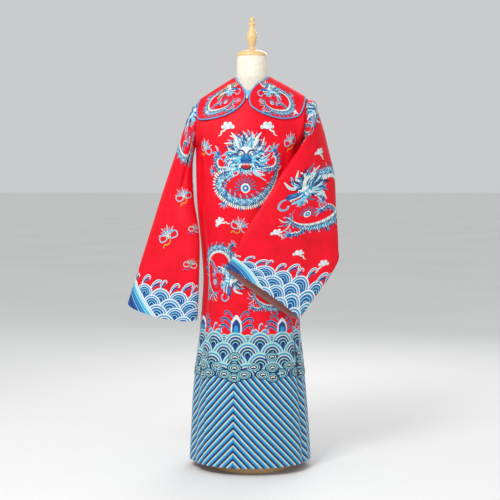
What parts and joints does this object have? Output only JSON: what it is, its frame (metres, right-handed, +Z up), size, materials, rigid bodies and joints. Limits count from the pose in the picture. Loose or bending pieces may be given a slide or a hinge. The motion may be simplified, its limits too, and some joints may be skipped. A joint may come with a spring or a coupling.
{
  "type": "chinese dragon robe on dress form",
  "caption": "Full-length wide-sleeved robe with a lobed cape collar, hanging hollow on a limbless dress form with a turned finial.",
  "frame": {"origin": "centre of the underside of the form's base, on the floor under the pole", "axes": "+Z up; the robe's front looks along -Y; the wearer's left arm is on +X"},
  "size_m": [0.7871, 0.408, 1.6896],
  "materials": {
    "robe_satin": "red silk satin embroidered in blue, white and gold floss",
    "cape_satin": "red silk satin, embroidered",
    "lining_cotton": "plain cotton lining",
    "neck_band_satin": "light blue satin band",
    "piping_satin": "blue satin piping",
    "knot_cord": "pale braided knot",
    "form_linen": "cream linen cover",
    "form_beech": "clear satin varnish on beech",
    "pole_steel": "brushed tube"
  },
  "bodies": {
    "root": {"front_overlap": "robe_satin", "front_underlap": "robe_satin", "back_panel": "robe_satin", "sleeve_right": "robe_satin", "sleeve_left": "robe_satin", "cuff_lining_left": "lining_cotton", "neck_band": "neck_band_satin", "neck_button": "knot_cord", "cape_collar": "cape_satin", "cape_piping": "piping_satin", "form_torso": "form_linen", "form_neck_cap": "form_beech", "form_finial": "form_beech", "form_pole": "pole_steel", "form_base": "form_beech"}
  },
  "joints": []
}
